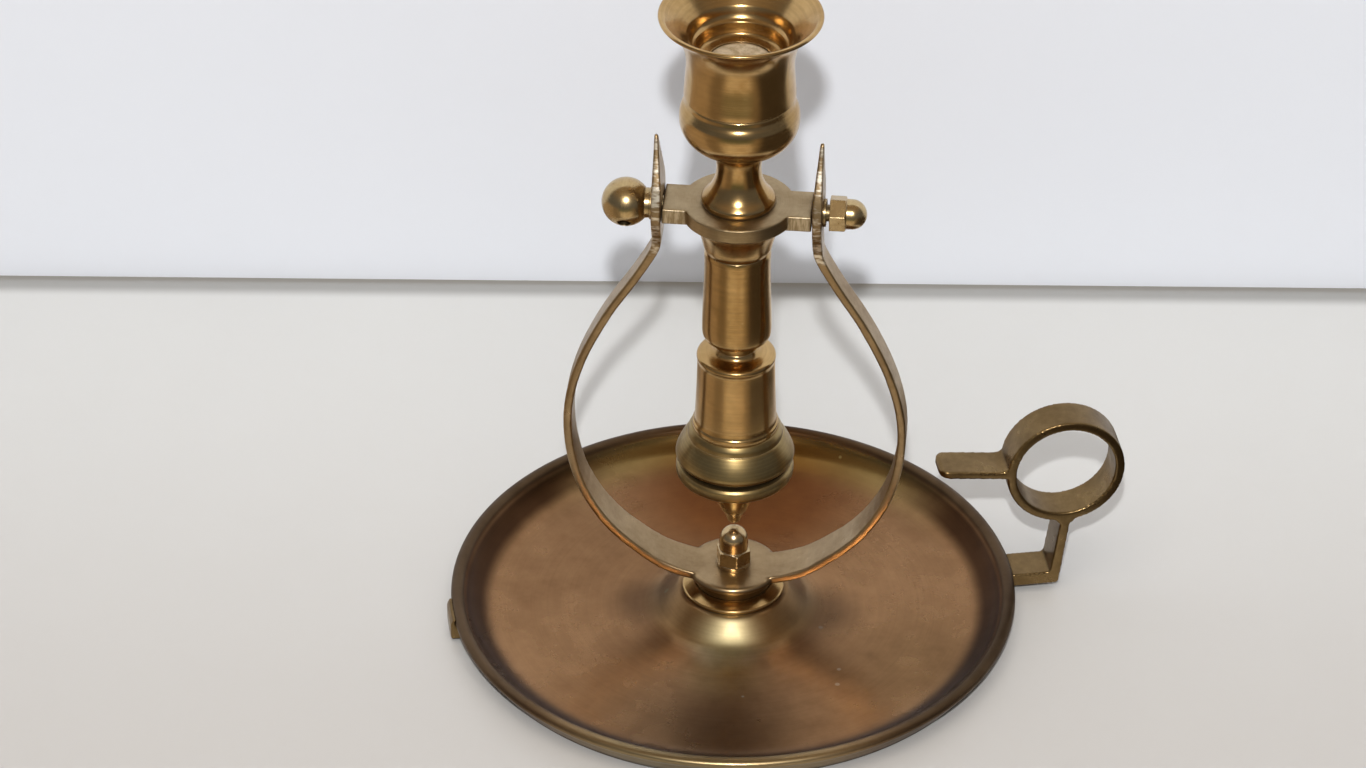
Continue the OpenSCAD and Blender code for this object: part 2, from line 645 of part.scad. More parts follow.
module pivot_stud() {
  color("#b8934f")
  union() {
    bar_x(pivot_end_d, arm_hole_end + 0.5, ear_in + 0.3);
    bar_x(pivot_d, arm_end, pivot_nut_x + nut_h + 1.2);
  }
}

module pivot_washer() {
  color("#8a7040")
  translate([ear_out, 0, pivot_z]) rotate([0, 90, 0])
    washer(7.2, pivot_d + 2 * fit, 0, side_washer_t);
}

module pivot_nut() {
  color("#b8934f")
  translate([pivot_nut_x, 0, pivot_z]) rotate([0, 90, 0]) rotate([0, 0, 11])
    acorn_nut(pivot_d + 2 * fit, 1.3);
}

module ball_washer() {
  color("#8a7040")
  translate([-ear_out - side_washer_t, 0, pivot_z]) rotate([0, 90, 0])
    washer(8.4, pivot_d + 2 * run_gap, 0, side_washer_t);
}

module ball_screw() {
  // the hole in the ball points to the front and down
  hole_tilt = 34;
  color("#b28d45")
  difference() {
    union() {
      translate([-ball_x, 0, pivot_z]) sphere(d = ball_d);
      // short turned neck between the ball and its washer
      translate([-ball_x, 0, pivot_z]) rotate([0, 90, 0])
        turned([[0, 0], [4.7, 0], [3.9, ball_d / 2 - 1.6], [3.8, ball_x - ear_out - side_washer_t],
          [0, ball_x - ear_out - side_washer_t]]);
      bar_x(pivot_d, -ball_x, -arm_end);
      bar_x(pivot_end_d, -ear_in - 0.5, -arm_hole_end - 0.7);
    }
    translate([-ball_x, 0, pivot_z]) rotate([90 + hole_tilt, 0, 0])
      translate([0, 0, ball_d / 2 - 4.6]) cylinder(d = ball_hole_d, h = 6);
  }
}

pan();
cone_collar();
swivel_disc();
centre_bolt();
bolt_washer();
hub_washer();
hub_nut();
handle();
lug();
yoke();
gimbal_plate();
candle_cup();
candle_seat();
stem_collar();
upper_stem();
lower_stem();
bell();
bell_weight();
bell_ring();
bell_cap();
tie_rod();
finial_nut();
pivot_stud();
pivot_washer();
pivot_nut();
ball_washer();
ball_screw();
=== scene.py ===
import math

import bmesh
import bpy
from mathutils import Matrix, Vector


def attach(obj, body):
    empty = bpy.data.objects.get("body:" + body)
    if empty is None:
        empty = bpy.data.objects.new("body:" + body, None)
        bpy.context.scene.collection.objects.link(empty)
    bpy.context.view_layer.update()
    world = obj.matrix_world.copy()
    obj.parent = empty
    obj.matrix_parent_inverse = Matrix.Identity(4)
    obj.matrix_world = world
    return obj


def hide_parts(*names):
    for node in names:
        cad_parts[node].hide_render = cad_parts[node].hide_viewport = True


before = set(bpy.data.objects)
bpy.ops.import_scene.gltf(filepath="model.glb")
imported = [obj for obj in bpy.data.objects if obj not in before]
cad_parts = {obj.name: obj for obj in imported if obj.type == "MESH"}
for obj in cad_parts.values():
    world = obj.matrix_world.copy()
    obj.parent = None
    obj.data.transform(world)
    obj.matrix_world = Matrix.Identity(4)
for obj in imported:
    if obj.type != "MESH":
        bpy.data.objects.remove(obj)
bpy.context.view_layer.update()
scene = bpy.context.scene

MM = 0.001
PIVOT_HEIGHT = 127 * MM


# Camera, at the photograph's viewing angle

LENS_PLACE = (83.96, -1043.00, 807.09)  # mm
LENS_TURN = (5.351, 35.069, 0.373)  # degrees to the left, down and rolled
FILM_WIDTH = 36
FOCAL_LENGTH = 130.32


def photograph_camera():
    """A long lens that looks down at the candlestick from the front."""
    place = Vector(LENS_PLACE) * MM
    yaw, pitch, roll = (math.radians(angle) for angle in LENS_TURN)
    level_right = Vector((math.cos(yaw), math.sin(yaw), 0))
    level_ahead = Vector((-math.sin(yaw), math.cos(yaw), 0))
    straight_up = Vector((0, 0, 1))
    ahead = level_ahead * math.cos(pitch) - straight_up * math.sin(pitch)
    level_top = level_ahead * math.sin(pitch) + straight_up * math.cos(pitch)
    right = level_right * math.cos(roll) + level_top * math.sin(roll)
    top = level_top * math.cos(roll) - level_right * math.sin(roll)
    turn = Matrix((right, top, -ahead)).transposed()
    lens = bpy.data.cameras.new("photograph_camera")
    lens.sensor_width = FILM_WIDTH
    lens.lens = FOCAL_LENGTH
    lens.dof.use_dof = False
    camera = bpy.data.objects.new("photograph_camera", lens)
    camera.matrix_world = Matrix.Translation(place) @ turn.to_4x4()
    scene.collection.objects.link(camera)
    scene.camera = camera
    return camera


camera = photograph_camera()


# Pieces formed here, in millimetres as a maker would mark them out

SAME_POINT = 1e-7  # metres between corners that are one corner
SAME_CORNER = 1e-6  # the same for corners of the copied CAD meshes
CREASE_ANGLE = 38  # degrees, above which an edge of a turned piece stays sharp
FINE_TURNING = 192  # sides of the turned pieces
PAN_TURNING = 256
PLAIN_TURNING = 96


def smooth(points, steps=4):
    """A smooth curve through every point: each span bends as the points on both sides of it ask."""
    curve = []
    last = len(points) - 1
    for span in range(last):
        before, start, end, after = (points[max(span - 1, 0)], points[span], points[span + 1],
                                     points[min(span + 2, last)])
        for step in range(steps):
            t = step / steps
            curve.append(tuple(
                0.5 * (2 * s + (e - b) * t + (2 * b - 5 * s + 4 * e - a) * t * t
                       + (3 * s - b - 3 * e + a) * t * t * t)
                for b, s, e, a in zip(before, start, end, after)))
    curve.append(tuple(points[last]))
    return curve


def turned_mesh(name, outline, segments):
    """A closed outline of (radius, height) turned about the candle's axis."""
    shape = bmesh.new()
    rings = []
    for turn in range(segments):
        angle = 2 * math.pi * turn / segments
        across, deep = math.cos(angle) * MM, math.sin(angle) * MM
        rings.append([shape.verts.new((radius * across, radius * deep, height * MM))
                      for radius, height in outline])
    for turn, ring in enumerate(rings):
        following = rings[(turn + 1) % segments]
        for row in range(len(outline)):
            onward = (row + 1) % len(outline)
            shape.faces.new((ring[row], following[row], following[onward], ring[onward]))
    bmesh.ops.remove_doubles(shape, verts=shape.verts, dist=SAME_POINT)
    bmesh.ops.recalc_face_normals(shape, faces=shape.faces)
    mesh = bpy.data.meshes.new(name)
    shape.to_mesh(mesh)
    shape.free()
    mesh.shade_smooth()
    mesh.set_sharp_from_angle(angle=math.radians(CREASE_ANGLE))
    return mesh


def add_piece(name, mesh, body, slot, *nodes):
    """Puts a piece in the scene on its body, in place of the nodes it stands for."""
    piece = bpy.data.objects.new(name, mesh)
    scene.collection.objects.link(piece)
    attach(piece, body)
    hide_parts(*nodes)
    return piece


def hand_finished(name, node_name, voxel, rounds, extra=None):
    """A cast or forged shape with its corners filed and rubbed round. The voxel is in millimetres."""
    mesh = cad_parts[node_name].data.copy()
    shape = bmesh.new()
    shape.from_mesh(mesh)
    bmesh.ops.remove_doubles(shape, verts=shape.verts, dist=SAME_CORNER)
    if extra:
        shape.from_mesh(extra)
    shape.to_mesh(mesh)
    shape.free()
    blank = bpy.data.objects.new(name + "_blank", mesh)
    scene.collection.objects.link(blank)
    remesh = blank.modifiers.new("remesh", "REMESH")
    remesh.mode = "VOXEL"
    remesh.voxel_size = voxel * MM
    remesh.use_smooth_shade = True
    soften = blank.modifiers.new("soften", "SMOOTH")
    soften.factor = 0.5
    soften.iterations = rounds
    ready = blank.evaluated_get(bpy.context.evaluated_depsgraph_get())
    made = bpy.data.meshes.new_from_object(ready)
    made.name = name
    bpy.data.objects.remove(blank)
    bpy.data.meshes.remove(mesh)
    made.materials.clear()
    made.shade_smooth()
    return made


PAN_OUTLINE = (
    [(5.1, 7.6), (5.1, 6.4), (9.4, 6.4)]
    + smooth([(11.2, 6.28), (12.2, 5.24), (13.6, 3.5), (15.1, 1.88), (17.2, 1.12), (20.3, 0.62),
              (26, 0.42), (34, 0.45)])
    + [(60, 0.6), (66, 0.6), (66.8, 0.3), (67.4, 0), (70.6, 0), (71.1, 0.5)]
    + smooth([(71.15, 0.55), (72.2, 2.0), (73.2, 3.6), (73.9, 4.9)])
    + smooth([(74.45, 5.35), (74.95, 6.1), (74.95, 6.85), (74.45, 7.45), (73.5, 7.78), (72.5, 7.68),
              (71.8, 7.2), (71.3, 6.3), (70.5, 5.2), (69.4, 4.2), (68.0, 3.35), (66.4, 2.65),
              (64.6, 2.15), (62.4, 1.88), (60, 1.8)])
    + smooth([(52, 1.75), (42, 1.6), (33, 1.4), (27.5, 1.34), (24.2, 1.45), (22.0, 1.78), (20.3, 2.45),
              (18.9, 3.5), (17.5, 4.8), (16.1, 6.1), (15.1, 7.0), (14.4, 7.45), (13.4, 7.6)]))

CUP_OUTLINE = (
    [(2.05, 147), (2.05, 129.2), (9.2, 129.2), (9.36, 129.5)]
    + smooth([(9.4, 129.95), (9.36, 130.5), (9.12, 131.05), (8.6, 131.7), (7.95, 132.45), (7.35, 133.3),
              (6.8, 134.3), (6.3, 135.5), (5.95, 136.8), (5.75, 138.3), (5.7, 139.8), (5.85, 141.2),
              (6.3, 143.2), (7.0, 144.4), (8.1, 145.4), (9.4, 146.2), (11.0, 147.0), (12.45, 148.1),
              (13.5, 149.3), (14.25, 150.5), (14.75, 151.7), (15.03, 152.9), (15.13, 154.1),
              (15.12, 155.3), (14.98, 156.4), (14.73, 157.2), (14.4, 157.85), (14.05, 158.4),
              (13.82, 158.95), (13.7, 159.5), (13.58, 160.0), (13.45, 160.2)])
    + [(13.42, 160.3), (13.45, 160.5), (13.85, 160.7)]
    + smooth([(14.04, 160.9), (14.03, 162.0), (13.87, 164), (13.72, 166), (13.57, 168), (13.5, 169.8),
              (13.6, 171.6), (13.95, 173.8), (14.7, 176.2), (15.9, 178.8), (17.6, 181.0), (19.3, 182.3),
              (20.2, 182.85)])
    + smooth([(20.42, 183.05), (20.5, 183.35), (20.38, 183.68), (20.05, 183.88), (19.6, 183.85)])
    + smooth([(19.1, 183.55), (17.9, 182.65), (16.6, 181.6), (15.4, 180.45), (14.3, 179.3), (13.35, 178.3)])
    + [(13.15, 177.95), (12.6, 176.6), (12.2, 175.4), (11.8, 175.1), (11.35, 174.9), (11.15, 174.6),
       (11.15, 172.0), (10.95, 171.5), (10.5, 171.15), (9.8, 171.0), (8.05, 170.95),
       (8.05, 167.9), (6.5, 167.9), (6.5, 147.6), (5.9, 147)])

SEAT_OUTLINE = [(0, 167.9), (7.95, 167.9), (7.95, 170.55), (7.75, 170.8), (7.3, 170.85), (7.1, 170.75),
                (0, 170.7)]

COLLAR_OUTLINE = (
    [(2.05, 124.8), (2.05, 115.2), (8.1, 115.2)]
    + smooth([(8.5, 115.4), (8.85, 116.4), (9.1, 117.6), (9.5, 119.1), (10.0, 120.7), (10.6, 122.2),
              (11.05, 123.6), (11.4, 124.5)])
    + [(11.4, 124.8)])

UPPER_STEM_OUTLINE = (
    [(2.05, 115.2), (2.05, 83.6), (5.5, 83.6), (5.5, 88.2), (7.9, 88.2)]
    + smooth([(8.3, 88.4), (8.75, 89.2), (8.9, 90.6), (8.92, 93), (8.82, 97), (8.6, 104), (8.5, 110),
              (8.55, 114.2)])
    + [(8.3, 115.05), (7.9, 115.2)])

LOWER_STEM_OUTLINE = (
    [(2.05, 83.6), (2.05, 59.3), (11.0, 59.3), (11.2, 60.4)]
    + smooth([(11.2, 61.3), (11.1, 61.9), (10.8, 62.3), (10.62, 63.2), (10.55, 64.8), (10.38, 68.6),
              (10.2, 73), (10.08, 78), (10.06, 80.8)])
    + smooth([(10.14, 81.4), (10.24, 82.1), (10.05, 82.65), (9.5, 83.0), (8.5, 83.25), (7.4, 83.45),
              (6.4, 83.75), (5.8, 84.4), (5.56, 85.2)])
    + [(5.52, 85.2), (5.52, 83.6)])

BELL_OUTLINE = (
    [(2.05, 59.9), (2.05, 58), (12.6, 56.4), (12.6, 50.3), (14.3, 50.3)]
    + smooth([(14.5, 50.35), (15.15, 50.8), (15.45, 51.5), (15.4, 52.3), (15.1, 53.2), (14.6, 54.4),
              (14.0, 55.6), (13.3, 56.8), (12.8, 57.6)])
    + [(12.6, 57.75), (12.45, 57.85)]
    + smooth([(12.4, 58.2), (12.25, 59.0), (11.95, 59.6), (11.7, 60.0), (11.5, 60.3)])
    + [(11.2, 60.4)])

HUB_OUTLINE = [(2.42, 12.6), (11.2, 12.6), (11.85, 12.9), (12.1, 13.5), (12.0, 14.1), (11.6, 14.6),
               (11.0, 14.8), (2.42, 14.8)]

# Node, piece, outline, sides, body and slot of each turned piece
TURNED = (
    ("pan", "spun_pan", PAN_OUTLINE, PAN_TURNING, "base", "pan_brass"),
    ("candle_cup", "turned_cup", CUP_OUTLINE, FINE_TURNING, "column", "turned_brass"),
    ("candle_seat", "worn_seat", SEAT_OUTLINE, PLAIN_TURNING, "column", "brass_parts"),
    ("stem_collar", "flared_collar", COLLAR_OUTLINE, FINE_TURNING, "column", "turned_brass"),
    ("upper_stem", "upper_tube", UPPER_STEM_OUTLINE, FINE_TURNING, "column", "turned_brass"),
    ("lower_stem", "lower_tube", LOWER_STEM_OUTLINE, FINE_TURNING, "column", "turned_brass"),
    ("bell", "turned_bell", BELL_OUTLINE, FINE_TURNING, "column", "turned_brass"),
)
# Node, piece, voxel, rounds of smoothing, body and slot of each cast or forged piece
HAND_FINISHED = (
    ("yoke", "forged_yoke", 0.26, 15, "swivel_yoke", "strap_brass"),
    ("gimbal_plate", "filed_plate", 0.25, 3, "column", "strap_brass"),
    ("handle", "cast_handle", 0.30, 12, "base", "cast_brass"),
    ("lug", "cast_lug", 0.25, 6, "base", "cast_brass"),
)

PIECES = {}
for node_name, name, outline, sides, body, slot in TURNED:
    PIECES[node_name] = add_piece(name, turned_mesh(name, outline, sides), body, slot, node_name)
for node_name, name, voxel, rounds, body, slot in HAND_FINISHED:
    hub_disc = turned_mesh("hub_disc", HUB_OUTLINE, PLAIN_TURNING) if node_name == "yoke" else None
    mesh = hand_finished(name, node_name, voxel, rounds, hub_disc)
    PIECES[node_name] = add_piece(name, mesh, body, slot, node_name)


# Small helpers for shader nodes

def node(tree, kind, inputs=None, **settings):
    """Adds a node, sets its options, and sets or links its inputs."""
    made = tree.nodes.new(kind)
    for name, value in settings.items():
        setattr(made, name, value)
    for name, value in (inputs or {}).items():
        socket = made.inputs[name]
        if isinstance(value, bpy.types.NodeSocket):
            tree.links.new(value, socket)
        else:
            socket.default_value = value
    return made


def sums(tree, operation, first, second=0.0, third=0.0, clamp=False):
    """One step of arithmetic on values."""
    inputs = {0: first, 1: second, 2: third}
    return node(tree, "ShaderNodeMath", inputs, operation=operation, use_clamp=clamp).outputs[0]


def spread(tree, value, low, high, to_low=0.0, to_high=1.0):
    """Maps low..high to a new range with soft ends."""
    inputs = {"Value": value, "From Min": low, "From Max": high, "To Min": to_low, "To Max": to_high}
    return node(tree, "ShaderNodeMapRange", inputs, interpolation_type="SMOOTHSTEP").outputs[0]


def blend_colour(tree, factor, first, second, way="MIX"):
    """Mixes two colours."""
    made = node(tree, "ShaderNodeMix", data_type="RGBA", blend_type=way)
    for place, value in ((0, factor), (6, first), (7, second)):
        if isinstance(value, bpy.types.NodeSocket):
            tree.links.new(value, made.inputs[place])
        else:
            made.inputs[place].default_value = value
    return made.outputs[2]


def new_group(name, inputs, outputs):
    """An empty node group with named sockets. Gives back the tree, its inputs and its output node."""
    tree = bpy.data.node_groups.new(name, "ShaderNodeTree")
    for label, kind, value in inputs:
        socket = tree.interface.new_socket(label, in_out="INPUT", socket_type="NodeSocket" + kind)
        if value is not None:
            socket.default_value = value
    for label, kind in outputs:
        tree.interface.new_socket(label, in_out="OUTPUT", socket_type="NodeSocket" + kind)
    entry = tree.nodes.new("NodeGroupInput")
    leave = tree.nodes.new("NodeGroupOutput")
    return tree, entry.outputs, leave.inputs


def use_group(tree, group, inputs):
    """Places a node group in a material with its own values."""
    made = node(tree, "ShaderNodeGroup", node_tree=group)
    for name, value in inputs.items():
        if isinstance(value, bpy.types.NodeSocket):
            tree.links.new(value, made.inputs[name])
        else:
            made.inputs[name].default_value = value
    return made.outputs


# Effects that several finishes share

def make_turning_lines():
    """Fine rings cut by a lathe tool. The axis of turning is Z of the position given."""
    tree, given, out = new_group(
        "turning lines",
        [("Position", "Vector", None), ("Pitch", "Float", 0.0004), ("Unevenness", "Float", 0.5)],
        [("Lines", "Float")],
    )
    apart = node(tree, "ShaderNodeSeparateXYZ", {0: given["Position"]}).outputs
    flat = node(tree, "ShaderNodeCombineXYZ", {0: apart[0], 1: apart[1]}).outputs[0]
    radius = node(tree, "ShaderNodeVectorMath", {0: flat}, operation="LENGTH").outputs["Value"]
    across = sums(tree, "DIVIDE", radius, given["Pitch"])
    along = sums(tree, "DIVIDE", apart[2], given["Pitch"])
    lathe = node(tree, "ShaderNodeCombineXYZ", {0: across, 1: along}).outputs[0]
    lines = node(tree, "ShaderNodeTexNoise", {"Vector": lathe, "Scale": 1.0, "Detail": 3.0}).outputs[0]
    patches = node(tree, "ShaderNodeTexNoise", {"Vector": given["Position"], "Scale": 90.0}).outputs[0]
    kept = spread(tree, patches, 0.35, 0.65)
    kept = sums(tree, "SUBTRACT", 1.0, sums(tree, "MULTIPLY", kept, given["Unevenness"]))
    centred = sums(tree, "SUBTRACT", lines, 0.5)
    tree.links.new(sums(tree, "MULTIPLY_ADD", centred, kept, 0.5), out["Lines"])
    return tree


def make_cloudy_tarnish():
    """Soft patches of thicker and thinner tarnish."""
    tree, given, out = new_group(
        "cloudy tarnish",
        [("Position", "Vector", None), ("Patch Size", "Float", 0.02), ("Contrast", "Float", 0.5)],
        [("Tarnish", "Float")],
    )
    size = sums(tree, "DIVIDE", 1.0, given["Patch Size"])
    inputs = {"Vector": given["Position"], "Scale": size, "Detail": 5.0, "Roughness": 0.6, "Distortion": 0.4}
    broad = node(tree, "ShaderNodeTexNoise", inputs).outputs[0]
    fine_size = sums(tree, "MULTIPLY", size, 6.3)
    inputs = {"Vector": given["Position"], "Scale": fine_size, "Detail": 4.0, "Roughness": 0.65}
    fine = node(tree, "ShaderNodeTexNoise", inputs).outputs[0]
    both = sums(tree, "MULTIPLY_ADD", fine, 0.35, sums(tree, "MULTIPLY", broad, 0.65))
    half = sums(tree, "MULTIPLY", given["Contrast"], 0.5)
    steep = sums(tree, "SUBTRACT", both, 0.5)
    steep = sums(tree, "DIVIDE", steep, sums(tree, "SUBTRACT", 0.55, half))
    tree.links.new(sums(tree, "ADD", steep, 0.5, clamp=True), out["Tarnish"])
    return tree


def make_fine_scratches():
    """Hairline scratches from handling and polishing, in three directions."""
    tree, given, out = new_group(
        "fine scratches",
        [("Position", "Vector", None), ("Length", "Float", 0.012), ("Amount", "Float", 0.3)],
        [("Scratches", "Float")],
    )
    inverse = sums(tree, "DIVIDE", 1.0, given["Length"])
    total = None
    for turns in ((0.3, 0.2, 0.5), (1.1, 0.7, 1.9), (0.5, 2.2, 2.9)):
        inputs = {"Vector": given["Position"], "Rotation": turns}
        turned = node(tree, "ShaderNodeVectorRotate", inputs, rotation_type="EULER_XYZ").outputs[0]
        inputs = {0: turned, 1: (1.0, 38.0, 38.0)}
        squeezed = node(tree, "ShaderNodeVectorMath", inputs, operation="MULTIPLY").outputs[0]
        inputs = {"Vector": squeezed, "Scale": inverse, "Detail": 2.0}
        streak = node(tree, "ShaderNodeTexNoise", inputs).outputs[0]
        level = sums(tree, "SUBTRACT", 0.86, sums(tree, "MULTIPLY", given["Amount"], 0.3))
        thin = sums(tree, "MULTIPLY", sums(tree, "SUBTRACT", streak, level), 14.0, clamp=True)
        total = thin if total is None else sums(tree, "MAXIMUM", total, thin)
    tree.links.new(total, out["Scratches"])
    return tree


def make_specks():
    """Scattered small spots, such as wax, lime and pits."""
    tree, given, out = new_group(
        "specks",
        [("Position", "Vector", None), ("Spacing", "Float", 0.006), ("Size", "Float", 0.1),
         ("Share", "Float", 0.3)],
        [("Specks", "Float")],
    )
    per_metre = sums(tree, "DIVIDE", 1.0, given["Spacing"])
    cells = node(tree, "ShaderNodeTexVoronoi", {"Vector": given["Position"], "Scale": per_metre})
    chance = node(tree, "ShaderNodeSeparateColor", {0: cells.outputs["Color"]}).outputs
    chosen = sums(tree, "LESS_THAN", chance[0], given["Share"])
    size = sums(tree, "MULTIPLY", given["Size"], sums(tree, "ADD", chance[1], 0.3))
    near = sums(tree, "DIVIDE", cells.outputs["Distance"], size)
    spot = spread(tree, near, 0.55, 1.0, 1.0, 0.0)
    tree.links.new(sums(tree, "MULTIPLY", spot, chosen), out["Specks"])
    return tree


def make_file_marks():
    """Short strokes left by a coarse file. Across is how many strokes fit in a metre, along each axis."""
    tree, given, out = new_group(
        "file marks",
        [("Position", "Vector", None), ("Across", "Vector", None)],
        [("Marks", "Float")],
    )
    inputs = {0: given["Position"], 1: given["Across"]}
    drawn = node(tree, "ShaderNodeVectorMath", inputs, operation="MULTIPLY").outputs[0]
    inputs = {"Vector": drawn, "Scale": 1.0, "Detail": 2.0, "Roughness": 0.7}
    strokes = node(tree, "ShaderNodeTexNoise", inputs).outputs[0]
    tree.links.new(spread(tree, strokes, 0.42, 0.62), out["Marks"])
    return tree


def make_edge_wear():
    """Bright edges where hands and cloths have rubbed."""
    tree, given, out = new_group(
        "edge wear",
        [("Position", "Vector", None), ("Width", "Float", 0.0004), ("Break Up", "Float", 0.5)],
        [("Wear", "Float"), ("Rounded", "Vector")],
    )
    rounded = node(tree, "ShaderNodeBevel", {"Radius": given["Width"]}, samples=6).outputs[0]
    facing = node(tree, "ShaderNodeNewGeometry").outputs["Normal"]
    match = node(tree, "ShaderNodeVectorMath", {0: rounded, 1: facing}, operation="DOT_PRODUCT")
    edge = spread(tree, match.outputs["Value"], 0.90, 0.995, 1.0, 0.0)
    rubbed = node(tree, "ShaderNodeTexNoise", {"Vector": given["Position"], "Scale": 260.0, "Detail": 3.0})
    rubbed = spread(tree, rubbed.outputs[0], 0.35, 0.65)
    missed = sums(tree, "MULTIPLY", rubbed, given["Break Up"])
    tree.links.new(sums(tree, "MULTIPLY", edge, sums(tree, "SUBTRACT", 1.0, missed)), out["Wear"])
    tree.links.new(rounded, out["Rounded"])
    return tree


def make_corner_shade():
    """Painted shade: near-black laid into corners and recesses as far as ambient occlusion finds them shut
    in, with a mottle.
    """
    tree, given, out = new_group(
        "painted corner shade",
        [("Position", "Vector", None), ("Reach", "Float", 0.003)],
        [("Corner Shade", "Float")],
    )
    inputs = {"Distance": given["Reach"]}
    shade = node(tree, "ShaderNodeAmbientOcclusion", inputs, samples=4).outputs["AO"]
    mottle = node(tree, "ShaderNodeTexNoise", {"Vector": given["Position"], "Scale": 400.0, "Detail": 3.0})
    level = sums(tree, "MULTIPLY_ADD", mottle.outputs[0], 0.3, 0.45)
    shaded_corners = spread(tree, sums(tree, "SUBTRACT", shade, level), -0.35, 0.25, 1.0, 0.0)
    tree.links.new(shaded_corners, out["Corner Shade"])
    return tree


TURNING_LINES = make_turning_lines()
CLOUDY_TARNISH = make_cloudy_tarnish()
FINE_SCRATCHES = make_fine_scratches()
SPECKS = make_specks()
FILE_MARKS = make_file_marks()
EDGE_WEAR = make_edge_wear()
CORNER_SHADE = make_corner_shade()


# Finishes

def colour(red, green, blue):
    """A colour as a shader socket takes it."""
    return (red, green, blue, 1.0)


def new_material(name):
    """A material with an empty node tree and its output."""
    made = bpy.data.materials.new(name)
    made.use_nodes = True
    made.node_tree.nodes.clear()
    tree = made.node_tree
    return made, tree, node(tree, "ShaderNodeOutputMaterial")


def rest_position(tree, on_pivot=False):
    """Object position. On the pivots it is turned so that their own lathe axis is Z."""
    position = node(tree, "ShaderNodeTexCoord").outputs["Object"]
    if not on_pivot:
        return position
    apart = node(tree, "ShaderNodeSeparateXYZ", {0: position}).outputs
    height = sums(tree, "SUBTRACT", apart[2], PIVOT_HEIGHT)
    return node(tree, "ShaderNodeCombineXYZ", {0: apart[1], 1: height, 2: apart[0]}).outputs[0]


def distance_from_axis(tree, position):
    """Distance in metres from the candle's axis, at any height."""
    inputs = {0: position, 1: (1.0, 1.0, 0.0)}
    flat = node(tree, "ShaderNodeVectorMath", inputs, operation="MULTIPLY").outputs[0]
    return node(tree, "ShaderNodeVectorMath", {0: flat}, operation="LENGTH").outputs["Value"]


def distance_from(tree, position, place):
    """Distance in metres from a place given in millimetres."""
    inputs = {0: position, 1: tuple(part * MM for part in place)}
    return node(tree, "ShaderNodeVectorMath", inputs, operation="DISTANCE").outputs["Value"]


def facing_along(tree):
    """1 on faces that look along the table to the front or the back, 0 on the others."""
    normal = node(tree, "ShaderNodeTexCoord").outputs["Normal"]
    level = sums(tree, "ABSOLUTE", node(tree, "ShaderNodeSeparateXYZ", {0: normal}).outputs[1])
    return spread(tree, level, 0.55, 0.85)


SOFT_EDGE = 1.0  # mm over which a filed spot fades


def box_mask(tree, position, middle, reach):
    """1 inside a box round the middle, in millimetres, and in its mirror image on the left."""
    both = node(tree, "ShaderNodeVectorMath", {0: position}, operation="ABSOLUTE").outputs[0]
    centre = tuple(part * MM for part in middle)
    off = node(tree, "ShaderNodeVectorMath", {0: both, 1: centre}, operation="SUBTRACT").outputs[0]
    off = node(tree, "ShaderNodeVectorMath", {0: off}, operation="ABSOLUTE").outputs[0]
    apart = node(tree, "ShaderNodeSeparateXYZ", {0: off}).outputs
    mask = None
    for part, size in zip(apart, reach):
        inside = spread(tree, part, size * MM, (size + SOFT_EDGE) * MM, 1.0, 0.0)
        mask = inside if mask is None else sums(tree, "MULTIPLY", mask, inside)
    return mask


def banded(tree, position, zones, tone, rough):
    """Paints light and shade in bands round the axis.

    Zones say where each begins, where it ends, shade, added roughness, and a place with the
    distances from it at which the band isn't there yet and is there in full.
    """
    for start, end, shade, rougher, place, none, full in zones:
        far = distance_from_axis(tree, position)
        inside = spread(tree, far, start[0] * MM, start[1] * MM)
        beyond = spread(tree, far, end[0] * MM, end[1] * MM, 1.0, 0.0)
        within = spread(tree, distance_from(tree, position, place), none * MM, full * MM)
        zone = sums(tree, "MULTIPLY", sums(tree, "MULTIPLY", inside, beyond), within)
        tone = blend_colour(tree, zone, tone, blend_colour(tree, 1.0, tone, shade, "MULTIPLY"))
        rough = sums(tree, "MULTIPLY_ADD", zone, rougher, rough)
    return tone, rough


def paint_spots(tree, position, painted_spots, tone, rough):
    """Paints light and shade in round spots. Each says place, radius of the full and of the faded part,
    shade, roughness.
    """
    for place, full, none, shade, rougher in painted_spots:
        inside = spread(tree, distance_from(tree, position, place), full * MM, none * MM, 1.0, 0.0)
        tone = blend_colour(tree, inside, tone, shade, "MULTIPLY")
        rough = sums(tree, "MULTIPLY_ADD", inside, rougher, rough)
    return tone, rough


def file_marked(tree, position, filed, worn, tone, rough, height):
    """Marks filed spots. They say strokes in a metre, middle and reach of a box, cover, depth."""
    for strokes, middle, reach, cover, depth in filed:
        marks = use_group(tree, FILE_MARKS, {"Position": position, "Across": strokes})["Marks"]
        near = sums(tree, "MULTIPLY", box_mask(tree, position, middle, reach), facing_along(tree))
        marks = sums(tree, "MULTIPLY", marks, near)
        tone = blend_colour(tree, sums(tree, "MULTIPLY", marks, cover), tone, worn)
        rough = sums(tree, "MULTIPLY_ADD", near, FILED_ROUGHER, rough)
        height = sums(tree, "MULTIPLY_ADD", marks, depth, height)
    return tone, rough, height


WAX = colour(0.5, 0.42, 0.3)
# Painted shade: the near-black that ambient occlusion lays into corners and recesses
CORNER_SHADE_TONE = colour(0.035, 0.02, 0.01)
RING_DARKENS = 0.22  # how far the hollows of the tool's rings darken the metal
RING_LIGHTENS = 0.12
SCRATCH_COVER = 0.35  # how far scratches and spots hide the metal's colour
SPOT_COVER = 0.6
TARNISH_ROUGHER = 0.12  # the dullest tarnish against the brightest metal
SCRATCH_ROUGHER = 0.12
SPOT_ROUGHER = 0.25
CORNER_SHADE_ROUGHER = 0.35
FILED_ROUGHER = 0.12
SCRATCH_HEIGHT = -0.5  # as a share of the relief's depth
SPOT_HEIGHT = 0.8
RELIEF_DEPTH = 0.03 * MM
RELIEF_STRENGTH = 0.35


